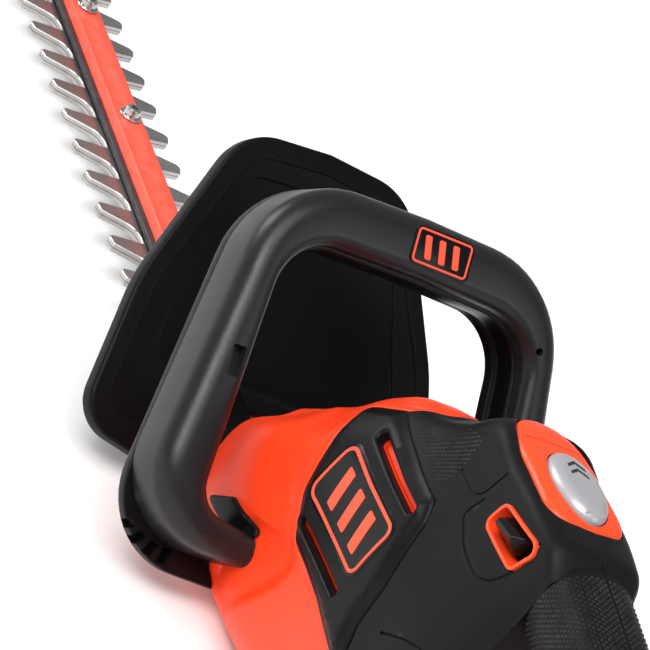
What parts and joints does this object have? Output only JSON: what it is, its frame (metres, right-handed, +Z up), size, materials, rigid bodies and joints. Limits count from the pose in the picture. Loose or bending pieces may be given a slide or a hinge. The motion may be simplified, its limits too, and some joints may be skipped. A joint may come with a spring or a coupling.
{
  "type": "hedge trimmer",
  "caption": "Cordless hedge trimmer with two opposed sliding blades, hand guard, front bail handle with switch lever, trigger handle and slide-on battery.",
  "frame": {"origin": "under the middle of the trimmer's overall box, on the plane that the gear-case cover and the battery rest on", "axes": "+X along the blade to its tip, +Y to the user's left, +Z up"},
  "size_m": [1.0346, 0.1852, 0.1748],
  "materials": {
    "orange": "satin moulded plastic",
    "charcoal": "fine-textured moulded plastic",
    "black": "fine-textured moulded plastic",
    "soft_grip": "soft overmould with a dotted grip pattern",
    "steel": "ground steel",
    "dark_steel": "dark oxide",
    "painted_bar": "painted bar",
    "dark_rail": "dark anodised",
    "silver": "satin metallic plastic",
    "cast": "as cast",
    "cells": "wrapped cells, whose mean density is close to aluminium's",
    "board": "circuit board"
  },
  "bodies": {
    "body": {"badge_left": "black", "badge_right": "black", "bail_badge": "black", "bail_front_shell": "charcoal", "bail_rear_shell": "charcoal", "bail_spring_left": "steel", "bail_spring_right": "steel", "blade_bar": "painted_bar", "blade_bolt_1": "steel", "blade_bolt_2": "steel", "blade_bolt_3": "steel", "blade_bolt_4": "steel", "blade_bolt_5": "steel", "blade_guard": "black", "blade_nut_1": "steel", "blade_nut_2": "steel", "blade_nut_3": "steel", "blade_nut_4": "steel", "blade_nut_5": "steel", "boost_spring": "steel", "control_board": "board", "gear_axle": "steel", "gear_case": "cast", "gear_case_cover": "cast", "guard_screw_left": "steel", "guard_screw_right": "steel", "guide_rail": "dark_rail", "handle_grip_left": "soft_grip", "handle_grip_right": "soft_grip", "housing_left": "orange", "housing_right": "orange", "housing_screw_1": "steel", "housing_screw_2": "steel", "housing_screw_3": "steel", "lock_off_bezel_left": "orange", "lock_off_bezel_right": "orange", "lower_bearing": "steel", "motor_can": "dark_steel", "motor_cover_left": "charcoal", "motor_cover_right": "charcoal", "speed_switch": "black", "terminal_block": "black", "top_cap": "orange", "trigger_spring": "steel", "trigger_switch": "black", "upper_bearing": "steel"},
    "motor": {"motor_rotor": "steel", "pinion": "steel", "cooling_fan": "charcoal"},
    "drive_gear": {"drive_gear": "steel"},
    "blade_upper": {"blade_upper": "steel"},
    "blade_lower": {"blade_lower": "steel"},
    "trigger": {"trigger": "black"},
    "lock_off": {"lock_off_slide": "black"},
    "boost_button": {"boost_button": "silver"},
    "bail_lever": {"bail_lever": "black"},
    "battery": {"battery_case": "charcoal", "battery_cells": "cells", "latch_spring": "steel"},
    "battery_latch": {"battery_latch": "orange"}
  },
  "joints": [
    {"name": "motor_spin", "type": "hinge", "parent": "body", "child": "motor", "pos_m": [-0.2325, 0, 0.027], "axis": [0, 0, 1], "continuous": true},
    {"name": "drive_gear_spin", "type": "hinge", "parent": "body", "child": "drive_gear", "pos_m": [-0.2, 0, 0.018], "axis": [0, 0, 1], "continuous": true},
    {"name": "upper_blade_stroke", "type": "slide", "parent": "body", "child": "blade_upper", "axis": [1, 0, 0], "range_m": [-0.008, 0.008]},
    {"name": "lower_blade_stroke", "type": "slide", "parent": "body", "child": "blade_lower", "axis": [1, 0, 0], "range_m": [-0.008, 0.008]},
    {"name": "trigger_pull", "type": "hinge", "parent": "body", "child": "trigger", "pos_m": [-0.372, 0, 0.136], "axis": [0, 1, 0], "range_deg": [0, 12], "stiffness_Nm_per_rad": 0.6, "springref_deg": -8.59, "deforming": ["trigger_spring"]},
    {"name": "lock_off_travel", "type": "slide", "parent": "body", "child": "lock_off", "axis": [-1, 0, 0], "range_m": [0, 0.005], "stiffness_N_per_m": 300, "springref_m": -0.002},
    {"name": "boost_press", "type": "slide", "parent": "body", "child": "boost_button", "axis": [0, 0, -1], "range_m": [0, 0.003], "stiffness_N_per_m": 600, "springref_m": -0.001, "deforming": ["boost_spring"]},
    {"name": "bail_lever_press", "type": "slide", "parent": "body", "child": "bail_lever", "axis": [0.6018, 0, 0.7986], "range_m": [0, 0.004], "stiffness_N_per_m": 1200, "springref_m": -0.001, "deforming": ["bail_spring_left", "bail_spring_right"]},
    {"name": "battery_slide", "type": "slide", "parent": "body", "child": "battery", "axis": [-1, 0, 0], "range_m": [0, 0.12]},
    {"name": "battery_latch_press", "type": "slide", "parent": "battery", "child": "battery_latch", "axis": [0, 0, -1], "range_m": [0, 0.003], "stiffness_N_per_m": 400, "springref_m": -0.001, "deforming": ["latch_spring"]}
  ],
  "couplings": [
    {"joint": "drive_gear_spin", "follows": "motor_spin", "ratio": -0.25},
    {"joint": "lower_blade_stroke", "follows": "upper_blade_stroke", "ratio": -1}
  ]
}
